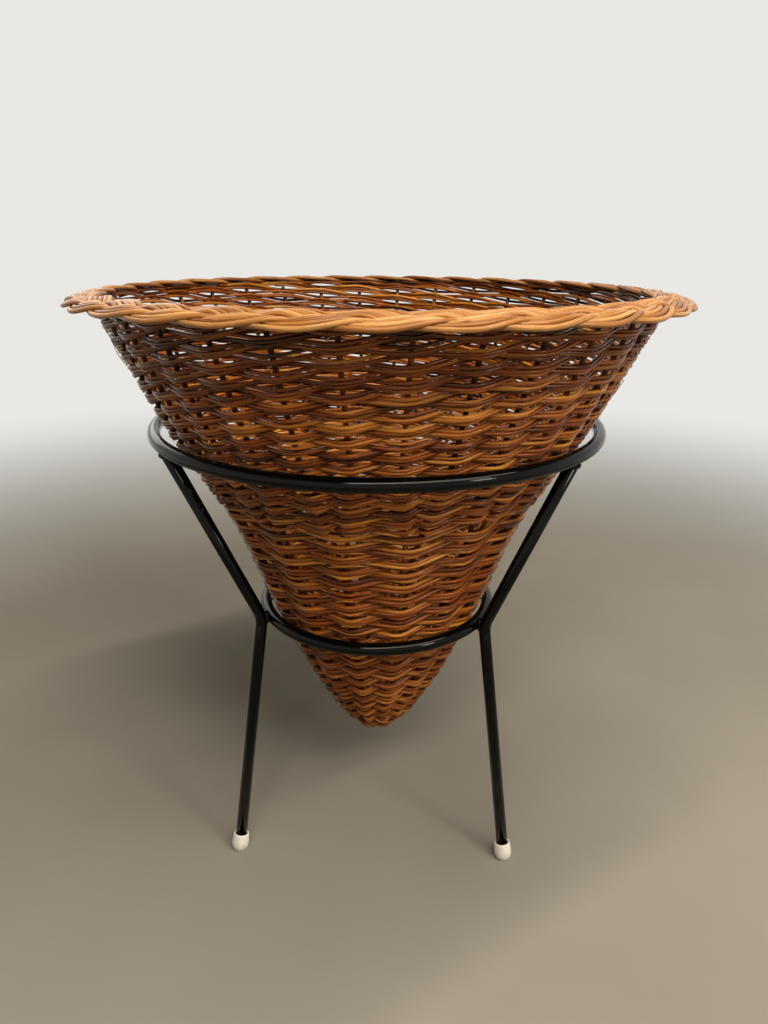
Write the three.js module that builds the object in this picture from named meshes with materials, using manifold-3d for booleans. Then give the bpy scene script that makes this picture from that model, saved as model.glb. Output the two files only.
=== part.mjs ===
import * as THREE from 'three';
import { mergeVertices } from 'three/addons/utils/BufferGeometryUtils.js';
import Module from 'manifold-3d';

// Wicker plant basket in a stand of round rod.
// Millimetres, +Z up. The origin is on the floor under the middle of the stand and -Y is the front.
// Angles round the basket start at the front and grow towards +X.

// Clearances
const FIT = 0.3;
const WEAVE_FIT = 0.45;
const COURSE_GAP = 0.7;
const RING_PLAY = 6;

// Stand
const ROD_DIAMETER = 12.7;
const UPPER_RING_RADIUS = 232.6;
const UPPER_RING_DROP = 130;
const LOWER_RING_RADIUS = 128.7;
const LOWER_RING_HEIGHT = 266;
const FOOT_RADIUS = 196.7;
const LEG_BEND_RADIUS = 30;

// Where each leg stands round the basket, in degrees, at the upper ring, at the lower ring and on the floor
const LEG_PLACES = {
  left: { top: -58.5, bend: -64, foot: -52.5 },
  right: { top: 50.5, bend: 56.5, foot: 47.5 },
  rear: { top: 177, bend: 177, foot: 177 },
};

// Push-on tips
const TIP_DIAMETER = 19.4;
const TIP_LENGTH = 22;
const TIP_SOLE = 4.5;

// Weave
const GROUPS = 16;
const STAKE_DIAMETER = 4.4;
const WEAVER_THICKNESS = 3.4;
const COURSE_PITCH = 11.2;

// Plaited border
const RIM_DIAMETER = 600;
const BORDER_HEIGHT = 605;
const BORDER_WIDTH = 37;
const BORDER_TILT = 6;
const STRAND_WIDTH = 11.8;
const STRAND_THICKNESS = 5.6;

// Tip of the cone, and the belly of the wall between the two rings as shares of the way up and out
const BOWL_HEIGHT = 118;
const BOWL_RADIUS = 37.5;
const BOWL_DEPTH = 30;
const PAIR_HEIGHT = 168;
const PAIR_RADIUS = 68;
const BELLY_RISE = 0.5;
const BELLY_REACH = 0.42;

// Middle of the wall, from the tip up to the border. It is drawn in to the lower ring, where the cone
// rests, and keeps the ring's play inside the upper ring, which hangs a set drop below the border.
const upperRingHeight = BORDER_HEIGHT - UPPER_RING_DROP;
const borderRadius = (RIM_DIAMETER - BORDER_WIDTH) / 2;
const wallReach = STAKE_DIAMETER / 2 + WEAVE_FIT + WEAVER_THICKNESS + 1.5;
const seatRadius = LOWER_RING_RADIUS - (ROD_DIAMETER / 2 + FIT + wallReach) / Math.cos(0.41);
const throatRadius = UPPER_RING_RADIUS - (ROD_DIAMETER / 2 + RING_PLAY + wallReach) / Math.cos(0.5);
const bellyHeight = LOWER_RING_HEIGHT + BELLY_RISE * (upperRingHeight - LOWER_RING_HEIGHT);
const bellyRadius = seatRadius + BELLY_REACH * (throatRadius - seatRadius);
const brimHeight = BORDER_HEIGHT - 0.85 * STRAND_WIDTH;
const brimRadius = borderRadius - 0.46 * BORDER_WIDTH;
const WALL_HEIGHTS = [BOWL_HEIGHT, PAIR_HEIGHT, LOWER_RING_HEIGHT, bellyHeight, upperRingHeight, brimHeight];
const WALL_RADII = [BOWL_RADIUS, PAIR_RADIUS, seatRadius, bellyRadius, throatRadius, brimRadius];

const wasm = await Module();
wasm.setup();

const basket = new THREE.Group();

// Materials
const BLACK_ENAMEL = { color: 0x0b0b0c, roughness: 0.22, metalness: 0.3 };
const CREAM_VINYL = { color: 0xd8d1bd, roughness: 0.5, metalness: 0 };
const BROWN_WILLOW = { color: 0x8a5325, roughness: 0.45, metalness: 0 };
const DARK_WILLOW = { color: 0x5e3519, roughness: 0.55, metalness: 0 };
const GOLD_WILLOW = { color: 0xa8702f, roughness: 0.42, metalness: 0 };

function addPiece(name, geometry, look, turn = 0) {
  const mesh = new THREE.Mesh(geometry, new THREE.MeshStandardMaterial(look));
  mesh.name = name;
  mesh.rotation.z = THREE.MathUtils.degToRad(turn);
  basket.add(mesh);
  return mesh;
}

// A path given by its stations. A section swept along it keeps its x axis on the given normal,
// and its width and height follow the scales, so that it is mitred at each station.
class LaidPath extends THREE.Curve {
  constructor(points, normals, heightScales = points.map(() => 1)) {
    super();
    this.points = points;
    this.normals = normals;
    this.heightScales = heightScales;
  }

  getPoint(t, target = new THREE.Vector3()) {
    const last = this.points.length - 1;
    const at = THREE.MathUtils.clamp(t, 0, 1) * last;
    const i = Math.min(Math.floor(at + 1e-9), last - 1);
    return target.lerpVectors(this.points[i], this.points[i + 1], at - i);
  }

  getUtoTmapping(u) {
    return u;
  }

  computeFrenetFrames() {
    const tangents = [];
    const normals = [];
    const binormals = [];
    const last = this.points.length - 1;
    for (let i = 0; i <= last; i++) {
      const before = new THREE.Vector3().subVectors(this.points[i], this.points[Math.max(i - 1, 0)]);
      const after = new THREE.Vector3().subVectors(this.points[Math.min(i + 1, last)], this.points[i]);
      if (i === 0) before.copy(after);
      if (i === last) after.copy(before);
      before.normalize();
      after.normalize();
      const tangent = new THREE.Vector3().addVectors(before, after).normalize();
      const mitre = 1 / tangent.dot(before);
      const normal = this.normals[i].clone();
      normal.addScaledVector(tangent, -normal.dot(tangent)).normalize();
      const binormal = new THREE.Vector3().crossVectors(tangent, normal);
      tangents.push(tangent);
      normals.push(normal.multiplyScalar(mitre));
      binormals.push(binormal.multiplyScalar(this.heightScales[i]));
    }
    return { tangents, normals, binormals };
  }
}

function sweep(outline, path) {
  const shape = new THREE.Shape(outline.map(([x, y]) => new THREE.Vector2(x, y)));
  return new THREE.ExtrudeGeometry(shape, {
    steps: path.points.length - 1,
    extrudePath: path,
    bevelEnabled: false,
  });
}

function roundOutline(radius, sides) {
  return Array.from({ length: sides }, (_, i) => {
    const angle = (2 * Math.PI * i) / sides;
    return [radius * Math.cos(angle), radius * Math.sin(angle)];
  });
}

function lathe(profile, segments) {
  return new THREE.LatheGeometry(profile.map(([x, y]) => new THREE.Vector2(x, y)), segments).rotateX(Math.PI / 2);
}

// Solids for cutting and joining
function toSolid(geometry) {
  const bare = geometry.clone();
  bare.deleteAttribute('normal');
  bare.deleteAttribute('uv');
  const merged = mergeVertices(bare, 1e-4);
  return new wasm.Manifold(new wasm.Mesh({
    numProp: 3,
    vertProperties: new Float32Array(merged.attributes.position.array),
    triVerts: new Uint32Array(merged.index.array),
  }));
}

function toGeometry(solid) {
  const mesh = solid.getMesh();
  const geometry = new THREE.BufferGeometry();
  geometry.setAttribute('position', new THREE.BufferAttribute(mesh.vertProperties, 3));
  geometry.setIndex(new THREE.BufferAttribute(mesh.triVerts, 1));
  geometry.computeVertexNormals();
  return geometry;
}

// Rings of the stand
const rodRadius = ROD_DIAMETER / 2;
const ROD_SIDES = 8;
const UPPER_RING_SEGMENTS = 48;
const LOWER_RING_SEGMENTS = 36;

function ringOfRod(ringRadius, height, segments, radius) {
  const section = roundOutline(radius, ROD_SIDES).map(([x, y]) => [ringRadius + x, height + y]);
  return lathe([...section, section[0]], segments);
}

// How far the rod's section reaches from its middle in a given direction
function reach(direction) {
  return Math.max(...roundOutline(rodRadius, ROD_SIDES).map(([x, y]) => x * direction.x + y * direction.y));
}

const upperRing = ringOfRod(UPPER_RING_RADIUS, upperRingHeight, UPPER_RING_SEGMENTS, rodRadius);
const lowerRing = ringOfRod(LOWER_RING_RADIUS, LOWER_RING_HEIGHT, LOWER_RING_SEGMENTS, rodRadius);
addPiece('upper_ring', upperRing, BLACK_ENAMEL);
addPiece('lower_ring', lowerRing, BLACK_ENAMEL);

// Legs. Each is one rod, straight from under the upper ring to its bend outside the lower ring and
// straight again to the floor.
function standing(degrees, radius, height) {
  const angle = THREE.MathUtils.degToRad(degrees);
  return new THREE.Vector3(Math.sin(angle) * radius, -Math.cos(angle) * radius, height);
}

const BEND_STEPS = 4;

function legLine(at, cornerRadius) {
  const topAim = standing(at.top, UPPER_RING_RADIUS, upperRingHeight);
  const corner = standing(at.bend, cornerRadius, LOWER_RING_HEIGHT);
  const foot = standing(at.foot, FOOT_RADIUS, 0);
  const up = topAim.clone().sub(corner).normalize();
  const down = foot.clone().sub(corner).normalize();
  const bisector = up.clone().add(down).normalize();
  const along = down.clone().sub(up).normalize();
  const halfBend = Math.PI / 2 - Math.acos(up.dot(bisector));
  const bendCentre = corner.clone().addScaledVector(bisector, LEG_BEND_RADIUS / Math.cos(halfBend));
  const outward = up.dot(standing(at.top, 1, 0));
  const sideways = Math.abs(up.dot(standing(at.top + 90, 1, 0)));
  const ringSag = UPPER_RING_RADIUS * (1 - Math.cos(Math.PI / UPPER_RING_SEGMENTS)) * outward;
  const cutBack = reach({ x: outward, y: up.z }) + ringSag + rodRadius * sideways + FIT;
  const points = [topAim.clone().addScaledVector(up, -cutBack)];
  for (let i = 0; i <= BEND_STEPS; i++) {
    const angle = halfBend * ((2 * i) / BEND_STEPS - 1);
    const rim = bisector.clone().multiplyScalar(-Math.cos(angle)).addScaledVector(along, Math.sin(angle));
    points.push(bendCentre.clone().addScaledVector(rim, LEG_BEND_RADIUS));
  }
  points.push(foot.clone().addScaledVector(down, TIP_SOLE / down.z));
  return { at, topAim, foot, up, down, points, across: new THREE.Vector3().crossVectors(up, down).normalize() };
}

// Where a leg comes nearest to the lower ring
function nearRing(points) {
  const STEPS = 256;
  let best = { distance: Infinity };
  for (let i = 0; i < (points.length - 1) * STEPS; i++) {
    const from = Math.floor(i / STEPS);
    const onLeg = points[from].clone().lerp(points[from + 1], i / STEPS - from);
    const onRing = new THREE.Vector3(onLeg.x, onLeg.y, 0).setLength(LOWER_RING_RADIUS);
    onRing.z = LOWER_RING_HEIGHT;
    const distance = onLeg.distanceTo(onRing);
    if (distance < best.distance) best = { distance, onLeg, onRing };
  }
  return best;
}

// The bend is set out just so far that the leg lies against the ring.
function layLeg(at) {
  let near = LOWER_RING_RADIUS;
  let far = LOWER_RING_RADIUS + 3 * ROD_DIAMETER;
  for (let i = 0; i < 30; i++) {
    const middle = (near + far) / 2;
    if (nearRing(legLine(at, middle).points).distance < ROD_DIAMETER + FIT) near = middle;
    else far = middle;
  }
  return legLine(at, far);
}

function legRod(line, radius, past = 0) {
  const points = line.points.map((p) => p.clone());
  points[0].addScaledVector(line.up, past);
  return sweep(roundOutline(radius, ROD_SIDES), new LaidPath(points, points.map(() => line.across)));
}

// Push-on tips. A vinyl cap turned round the rod, with a blind bore, cut off level at the floor.
const boreRadius = rodRadius + FIT;
const TIP_SEGMENTS = 12;

function tip(line) {
  const r = TIP_DIAMETER / 2;
  const top = TIP_LENGTH;
  const bore = boreRadius / Math.cos(Math.PI / TIP_SEGMENTS);
  const cap = lathe([
    [0, -0.3 * top],
    [0.8 * r, -0.3 * top],
    [r, 0.1 * top],
    [0.96 * r, 0.6 * top],
    [0.88 * r, 0.95 * top],
    [0.8 * r, top],
    [bore, top],
    [bore, TIP_SOLE - FIT],
    [0, TIP_SOLE - FIT],
  ], TIP_SEGMENTS);
  const lean = new THREE.Quaternion().setFromUnitVectors(new THREE.Vector3(0, 0, 1), line.down.clone().negate());
  const placed = cap.applyQuaternion(lean).translate(...line.foot);
  const room = 4 * TIP_DIAMETER;
  const floor = new THREE.BoxGeometry(room, room, room).translate(line.foot.x, line.foot.y, -room / 2);
  return toGeometry(toSolid(placed).subtract(toSolid(floor)));
}

// Weld beads. Each is a swelling of filler metal that leaves room for the rod and the ring it joins.
function bead(line, centre, sizes, ring) {
  const turn = Math.atan2(centre.y, centre.x);
  const blob = new THREE.SphereGeometry(1, 8, 6).scale(...sizes.map((share) => share * ROD_DIAMETER));
  blob.rotateZ(turn).translate(...centre);
  const rodRoom = toSolid(legRod(line, roomRadius, rodRadius));
  return toGeometry(toSolid(blob).subtract(rodRoom).subtract(toSolid(ring)));
}

const roomRadius = rodRadius + FIT / Math.cos(Math.PI / ROD_SIDES);
const upperRingRoom = ringOfRod(UPPER_RING_RADIUS, upperRingHeight, UPPER_RING_SEGMENTS, roomRadius);
const lowerRingRoom = ringOfRod(LOWER_RING_RADIUS, LOWER_RING_HEIGHT, LOWER_RING_SEGMENTS, roomRadius);

for (const [side, at] of Object.entries(LEG_PLACES)) {
  const line = layLeg(at);
  const upperSeam = line.topAim.clone().addScaledVector(line.up, -0.58 * ROD_DIAMETER);
  const touch = nearRing(line.points);
  const lowerSeam = touch.onLeg.clone().lerp(touch.onRing, 0.5);
  addPiece(`leg_${side}`, legRod(line, rodRadius), BLACK_ENAMEL);
  addPiece(`foot_${side}`, tip(line), CREAM_VINYL);
  addPiece(`weld_upper_${side}`, bead(line, upperSeam, [0.73, 0.76, 0.4], upperRingRoom), BLACK_ENAMEL);
  addPiece(`weld_lower_${side}`, bead(line, lowerSeam, [0.37, 0.49, 0.58], lowerRingRoom), BLACK_ENAMEL);
}

// Wall of the basket. A length s up the slope gives a radius, a height and the way the wall faces.
const wallLengths = [0];
for (let i = 1; i < WALL_HEIGHTS.length; i++) {
  const run = Math.hypot(WALL_HEIGHTS[i] - WALL_HEIGHTS[i - 1], WALL_RADII[i] - WALL_RADII[i - 1]);
  wallLengths.push(wallLengths[i - 1] + run);
}
const wallTop = wallLengths[wallLengths.length - 1];

function lookUp(s, lengths, values) {
  let i = 0;
  while (i < lengths.length - 2 && s > lengths[i + 1]) i++;
  const share = (s - lengths[i]) / (lengths[i + 1] - lengths[i]);
  return values[i] + (values[i + 1] - values[i]) * share;
}

// The slope is eased over the corners of the wall's profile, so that neighbouring courses lie alike.
const slopeLengths = [];
const slopes = [];
for (let i = 1; i < WALL_HEIGHTS.length; i++) {
  slopeLengths.push((wallLengths[i - 1] + wallLengths[i]) / 2);
  slopes.push(Math.atan2(WALL_RADII[i] - WALL_RADII[i - 1], WALL_HEIGHTS[i] - WALL_HEIGHTS[i - 1]));
}

function wallRadius(s) {
  return lookUp(s, wallLengths, WALL_RADII);
}

function wallSlope(s) {
  const held = THREE.MathUtils.clamp(s, slopeLengths[0], slopeLengths[slopeLengths.length - 1]);
  return lookUp(held, slopeLengths, slopes);
}

function facing(angle, slope) {
  const flat = Math.cos(slope);
  return new THREE.Vector3(Math.sin(angle) * flat, -Math.cos(angle) * flat, -Math.sin(slope));
}

function wallPoint(angle, s, out = 0) {
  const r = wallRadius(s);
  const z = lookUp(s, wallLengths, WALL_HEIGHTS);
  const point = new THREE.Vector3(Math.sin(angle) * r, -Math.cos(angle) * r, z);
  return point.addScaledVector(facing(angle, wallSlope(s)), out);
}

// Stakes stand singly in the tip, in pairs up to the spread, and evenly spaced above it.
const stakeRadius = STAKE_DIAMETER / 2;
const groupAngle = (2 * Math.PI) / GROUPS;
const pairHalf = stakeRadius + FIT / 2;
const pairFrom = wallLengths[1];
const spreadFrom = wallLengths[3];
const spreadTo = wallLengths[4];

function pairAngle(s) {
  if (s <= pairFrom) return (pairHalf / WALL_RADII[1]) * (s / pairFrom);
  const knots = [pairFrom, wallLengths[2], spreadFrom, spreadTo, wallTop];
  const angles = [
    pairHalf / WALL_RADII[1],
    pairHalf / WALL_RADII[2],
    pairHalf / WALL_RADII[3],
    groupAngle / 4,
    groupAngle / 4,
  ];
  return lookUp(Math.min(s, wallTop), knots, angles);
}

// Plait of the border: a flat three-strand braid that goes once round the rim.
const borderTilt = THREE.MathUtils.degToRad(BORDER_TILT);
const swing = (BORDER_WIDTH - STRAND_WIDTH) / 2;
const UNITS = 2 * GROUPS;
const seatPhase = THREE.MathUtils.degToRad(141);

// The lay of a strand at its six stations in each wave: it dips once as it crosses each way under
// the others and rides high in between. Rise as a share of the strand's thickness, roll in degrees.
const LAY = [
  { rise: -1.018, roll: -2 },
  { rise: 1.018, roll: -9 },
  { rise: 1.018, roll: -6.5 },
];

function borderPoint(angle, across, up) {
  const r = borderRadius + across * Math.cos(borderTilt) - up * Math.sin(borderTilt);
  const z = BORDER_HEIGHT + across * Math.sin(borderTilt) + up * Math.cos(borderTilt);
  return new THREE.Vector3(Math.sin(angle) * r, -Math.cos(angle) * r, z);
}

// Stakes. They turn out under the plait at their top ends and carry it there.
const STAKE_SIDES = 4;
const strandUnder = STRAND_THICKNESS * (0.5 - LAY[0].rise) + 1.7 * FIT;

function stake(side) {
  const points = [];
  const normals = [];
  const stops = side < 0 ? [...wallLengths] : wallLengths.slice(1);
  stops[0] += FIT;
  for (const s of stops) {
    const angle = side * pairAngle(s);
    points.push(wallPoint(angle, s));
    normals.push(facing(angle, wallSlope(s)));
  }
  const topAngle = side * (groupAngle / 4);
  points.push(borderPoint(topAngle, swing * Math.sin(seatPhase), -(strandUnder + stakeRadius)));
  normals.push(new THREE.Vector3(0, 0, -1));
  return sweep(roundOutline(stakeRadius, STAKE_SIDES), new LaidPath(points, normals));
}

for (let group = 0; group < GROUPS; group++) {
  const turn = THREE.MathUtils.radToDeg(groupAngle * (group + 0.5));
  const number = (n) => String(n).padStart(2, '0');
  addPiece(`stake_${number(2 * group + 1)}`, stake(-1), DARK_WILLOW, turn);
  addPiece(`stake_${number(2 * group + 2)}`, stake(1), DARK_WILLOW, turn);
}

// How far a weaver stands out from the middle of the wall where it passes outside or inside a stake
// or a pair, so that its straight run to the next stake stays clear of this one.
function standOff(radius, slope, step, halfWidth) {
  const clear = stakeRadius + WEAVE_FIT + WEAVER_THICKNESS / 2;
  const flat = Math.cos(slope);
  let outside = clear;
  let inside = clear;
  const rise = (mine, next) => {
    const nextRadius = radius + next * flat;
    const fall = (nextRadius * Math.cos(step) - radius) * flat + next * Math.sin(slope) ** 2;
    return (mine - fall) / (nextRadius * Math.sin(step));
  };
  for (let i = 0; i < 30; i++) {
    const outRise = rise(outside, -inside);
    const inRise = -rise(-inside, outside);
    outside = clear * Math.hypot(1, outRise) + outRise * halfWidth;
    inside = clear * Math.hypot(1, inRise) + Math.max(inRise, 0) * halfWidth + halfWidth ** 2 / radius;
  }
  return { outside, inside };
}

// Two weavers climb the wall together, each passing outside the stakes that the other passes inside.
// Crossing number n is at group n, or at stake n above the spread. The first and last courses run thin,
// as the tips of rods do, so the weave is level at the tip and under the border.
const courseHeight = COURSE_PITCH - COURSE_GAP;
const weaveFrom = 2 * FIT + WALL_RADII[0] * (1 - Math.cos(groupAngle / 2)) * Math.sin(wallSlope(0));
const weaveTo = wallTop - stakeRadius;
const THIN = 0.2;

function courseAt(turns, strand) {
  const s = (2 * turns + strand - 1) * COURSE_PITCH;
  const low = Math.max(s - courseHeight / 2, weaveFrom);
  const high = Math.min(s + courseHeight / 2, weaveTo);
  return { s: (low + high) / 2, share: (high - low) / courseHeight };
}

function crossing(n, strand, singles) {
  const perTurn = singles ? 2 * GROUPS : GROUPS;
  const group = singles ? Math.floor(n / 2) : n;
  const side = singles ? 2 * (n - 2 * group) - 1 : 0;
  const nearly = courseAt(n / perTurn, strand);
  let shift = side * pairAngle(nearly.s);
  const lonely = !singles && nearly.s < pairFrom - COURSE_PITCH / 2;
  if (!singles && lonely) shift = -pairAngle(nearly.s);
  const angle = groupAngle * (group + 0.5) + shift;
  const course = courseAt((angle - groupAngle / 2 + (singles ? groupAngle / 4 : 0)) / (2 * Math.PI), strand);
  const radius = wallRadius(course.s);
  const step = singles ? Math.min(2 * pairAngle(course.s), groupAngle - 2 * pairAngle(course.s)) : groupAngle;
  const lean = pairAngle(course.s + courseHeight / 2) - pairAngle(course.s - courseHeight / 2);
  const halfWidth = (singles || lonely ? 0 : pairAngle(course.s) * radius) + (lean * radius) / 2;
  const off = standOff(radius, wallSlope(course.s), step, halfWidth);
  const isOutside = (((n + strand) % 2) + 2) % 2 === 0;
  return {
    point: wallPoint(angle, course.s, isOutside ? off.outside : -off.inside),
    normal: facing(angle, wallSlope(course.s)),
    share: course.share,
  };
}

function weaver(strand, singles, from, to) {
  const stations = [];
  for (let n = Math.floor(from); n <= Math.ceil(to); n++) {
    const here = crossing(n, strand, singles);
    if (here.share >= THIN) stations.push({ n, ...here });
  }
  const trim = (edge, inner, end) => {
    const share = (end - inner.n) / (edge.n - inner.n);
    edge.point.lerpVectors(inner.point.clone(), edge.point.clone(), share);
  };
  const last = stations.length - 1;
  if (stations[0].n < from) trim(stations[0], stations[1], from);
  if (stations[last].n > to) trim(stations[last], stations[last - 1], to);
  const path = new LaidPath(
    stations.map((at) => at.point),
    stations.map((at) => at.normal),
    stations.map((at) => at.share),
  );
  const x = WEAVER_THICKNESS / 2;
  const y = courseHeight / 2;
  return sweep([[x, -y], [x, y], [-x, y], [-x, -y]], path);
}

// Each weaver is pieced from four lengths, joined end to end inside the wall behind a stake.
const spreadCut = spreadFrom + (spreadTo - spreadFrom) * 0.4;
const joins = [-2 * COURSE_PITCH, spreadCut * 0.34, spreadCut * 0.68, spreadCut, wallTop + 3 * COURSE_PITCH];
const END = 0.06;
for (const strand of [0, 1]) {
  const groupAt = (s) => 2 * Math.round((s / (2 * COURSE_PITCH)) * (GROUPS / 2)) + 1 - strand;
  for (let length = 0; length < 4; length++) {
    const singles = length === 3;
    const first = groupAt(joins[length]);
    const last = groupAt(joins[length + 1]);
    const from = singles ? 2 * first + 0.7 - 0.2 * strand : first + END;
    const to = singles ? 2 * last : last - END;
    addPiece(`weaver_${length + 1}${'ab'[strand]}`, weaver(strand, singles, from, to), BROWN_WILLOW);
  }
}

// Tip of the basket: a bowl wound from rods, whose edge carries the feet of the stakes.
const bowlHalf = 0.22 * BOWL_DEPTH;
const bowlSlope = wallSlope(0);
const rimOut = [BOWL_RADIUS + bowlHalf * Math.cos(bowlSlope), BOWL_HEIGHT - bowlHalf * Math.sin(bowlSlope)];
const rimIn = [BOWL_RADIUS - bowlHalf * Math.cos(bowlSlope), BOWL_HEIGHT + bowlHalf * Math.sin(bowlSlope)];
const BOWL_OUTSIDE = [[0, 0], [0.24, 0.02], [0.467, 0.14], [0.693, 0.333], [0.923, 0.58]];
const BOWL_INSIDE = [[0.64, 0.667], [0.32, 0.4], [0, 0.317]];

function bowl() {
  const placed = ([out, rise]) => [out * BOWL_RADIUS, BOWL_HEIGHT + (rise - 1) * BOWL_DEPTH];
  const outside = [...BOWL_OUTSIDE.map(placed), rimOut];
  const inside = [rimIn, ...BOWL_INSIDE.map(placed)];
  const ridged = [];
  for (let i = 0; i < outside.length - 1; i++) {
    const [a, b] = [outside[i], outside[i + 1]];
    ridged.push(a);
    const out = new THREE.Vector2(b[1] - a[1], a[0] - b[0]).normalize();
    if (i > 0) ridged.push([(a[0] + b[0]) / 2 + out.x, (a[1] + b[1]) / 2 + out.y]);
  }
  return lathe([...ridged, rimOut, ...inside], 20);
}

addPiece('base_bowl', bowl(), BROWN_WILLOW);

// Strands of the border. Each goes once round the rim and ends where the next one begins, at the back.
// At every stake one strand is at the bottom of the plait and rests on the stake's turned-out end.
const STATIONS_PER_WAVE = 2 * LAY.length;
const stationsRound = (STATIONS_PER_WAVE * UNITS) / 3;

function plaitStation(index, k) {
  const angle = groupAngle / 4 + (2 * Math.PI * k) / stationsRound;
  const station = (k + 2 * index) % STATIONS_PER_WAVE;
  const phase = seatPhase + (2 * Math.PI * station) / STATIONS_PER_WAVE;
  const lay = LAY[station % LAY.length];
  const roll = THREE.MathUtils.degToRad(station < LAY.length ? lay.roll : -lay.roll);
  return {
    point: borderPoint(angle, swing * Math.sin(phase), lay.rise * STRAND_THICKNESS),
    normal: borderPoint(angle, -Math.sin(roll), Math.cos(roll)).sub(borderPoint(angle, 0, 0)),
  };
}

function strandOfPlait(index) {
  const back = stationsRound / 2;
  const stations = [];
  for (let k = back; k <= back + stationsRound; k++) stations.push(plaitStation(index, k));
  const first = plaitStation(index, back - 1);
  const last = stations[stations.length - 1];
  const half = 0.5 - FIT / first.point.distanceTo(stations[0].point);
  first.point.lerp(stations[0].point, 1 - half);
  last.point.lerpVectors(stations[stations.length - 2].point, last.point.clone(), half);
  stations.unshift(first);
  const x = STRAND_THICKNESS / 2;
  const y = STRAND_WIDTH / 2;
  return sweep(
    [[x, -y / 2], [x, y / 2], [0, y], [-x, y / 2], [-x, -y / 2], [0, -y]],
    new LaidPath(stations.map((at) => at.point), stations.map((at) => at.normal)),
  );
}

for (const [index, name] of ['plait_a', 'plait_b', 'plait_c'].entries()) {
  addPiece(name, strandOfPlait(index), GOLD_WILLOW);
}

export default basket;
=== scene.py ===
import math
import random

import bpy
import numpy as np
from mathutils import Matrix, Vector


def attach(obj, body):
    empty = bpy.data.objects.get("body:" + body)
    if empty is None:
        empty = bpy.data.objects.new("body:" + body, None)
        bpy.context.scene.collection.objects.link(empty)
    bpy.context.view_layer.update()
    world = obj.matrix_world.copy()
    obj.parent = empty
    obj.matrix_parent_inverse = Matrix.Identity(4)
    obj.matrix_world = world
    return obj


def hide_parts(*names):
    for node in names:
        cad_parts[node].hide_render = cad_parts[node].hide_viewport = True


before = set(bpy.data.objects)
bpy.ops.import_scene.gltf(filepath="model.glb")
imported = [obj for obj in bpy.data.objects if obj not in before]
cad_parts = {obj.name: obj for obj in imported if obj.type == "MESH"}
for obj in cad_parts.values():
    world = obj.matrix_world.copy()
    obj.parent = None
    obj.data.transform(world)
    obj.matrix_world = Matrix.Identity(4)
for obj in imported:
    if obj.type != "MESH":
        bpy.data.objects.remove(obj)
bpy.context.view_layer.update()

# Wicker plant basket in a stand of round rod. Metres, +Z up, -Y is the front.

# Camera. It stands 0.79 m in front of the basket's middle and 0.66 m above the floor and looks twenty
# degrees down, as the picture was taken.
CAMERA_PLACE = (0.0031, -0.7903, 0.6564)
PITCH, YAW, ROLL = (math.radians(degrees) for degrees in (20.04, 0.348, 0.363))
FOCAL_PIXELS, LONG_SIDE_PIXELS, SENSOR_WIDTH = 741.5, 1024, 36.0
forward = Vector((math.sin(YAW) * math.cos(PITCH), math.cos(YAW) * math.cos(PITCH), -math.sin(PITCH)))
level = Vector((math.cos(YAW), -math.sin(YAW), 0))
upright = level.cross(forward)
right = level * math.cos(ROLL) + upright * math.sin(ROLL)
top = upright * math.cos(ROLL) - level * math.sin(ROLL)
camera_data = bpy.data.cameras.new("camera")
camera_data.sensor_width = SENSOR_WIDTH
camera_data.lens = FOCAL_PIXELS * SENSOR_WIDTH / LONG_SIDE_PIXELS
camera = bpy.data.objects.new("camera", camera_data)
bpy.context.scene.collection.objects.link(camera)
camera.matrix_world = Matrix.Translation(CAMERA_PLACE) @ Matrix((right, top, -forward)).transposed().to_4x4()
bpy.context.scene.camera = camera
bpy.context.scene.view_settings.view_transform = "Standard"


# Floor and light. A smooth grey floor runs out into a pale background. Three long ceiling lamps hang
# over the basket and in front of it, a small one stands to the right of the camera and a large soft
# one behind the basket.
def colour(hex_code):
    """sRGB hex to the linear colour that the shader takes."""
    parts = [int(hex_code[i:i + 2], 16) / 255 for i in (1, 3, 5)]
    return tuple(c / 12.92 if c <= 0.04045 else ((c + 0.055) / 1.055) ** 2.4 for c in parts) + (1.0,)


def add_node(tree, kind, settings=None, inputs=None):
    """Adds one shader node. A setting is an attribute; an input is a value or another node's output."""
    node = tree.nodes.new(kind)
    for key, value in (settings or {}).items():
        setattr(node, key, value)
    for key, value in (inputs or {}).items():
        if isinstance(value, bpy.types.NodeSocket):
            tree.links.new(value, node.inputs[key])
        else:
            node.inputs[key].default_value = value
    return node


def new_material(name):
    """An empty material and its node tree."""
    material = bpy.data.materials.new(name)
    material.use_nodes = True
    material.node_tree.nodes.clear()
    return material, material.node_tree


# The background is pale all round and falls off to a dim ceiling overhead, which begins 27 degrees
# above the horizon, higher than the camera sees.
BACKGROUND, CEILING, ROOM_LIGHT = colour("#e9e8e4"), colour("#4a4741"), colour("#f4efe6")
CEILING_FROM, CEILING_TO = 0.45, 0.75  # sines of the angle above the horizon
world = bpy.data.worlds.new("daylight_room")
bpy.context.scene.world = world
world.use_nodes = True
tree = world.node_tree
tree.nodes.clear()
rays = add_node(tree, "ShaderNodeLightPath")
room = add_node(tree, "ShaderNodeBackground", inputs={"Color": ROOM_LIGHT, "Strength": 0.05})
way = add_node(tree, "ShaderNodeTexCoord")
height = add_node(tree, "ShaderNodeSeparateXYZ", inputs={"Vector": way.outputs["Generated"]})
overhead = add_node(tree, "ShaderNodeMapRange", {"interpolation_type": "SMOOTHSTEP"},
                    {"Value": height.outputs["Z"], "From Min": CEILING_FROM, "From Max": CEILING_TO})
wall_to_ceiling = add_node(tree, "ShaderNodeMix", {"data_type": "RGBA"},
                           {"Factor": overhead.outputs["Result"], "A": BACKGROUND, "B": CEILING})
behind = add_node(tree, "ShaderNodeBackground",
                  inputs={"Color": wall_to_ceiling.outputs["Result"], "Strength": 1.0})
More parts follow.
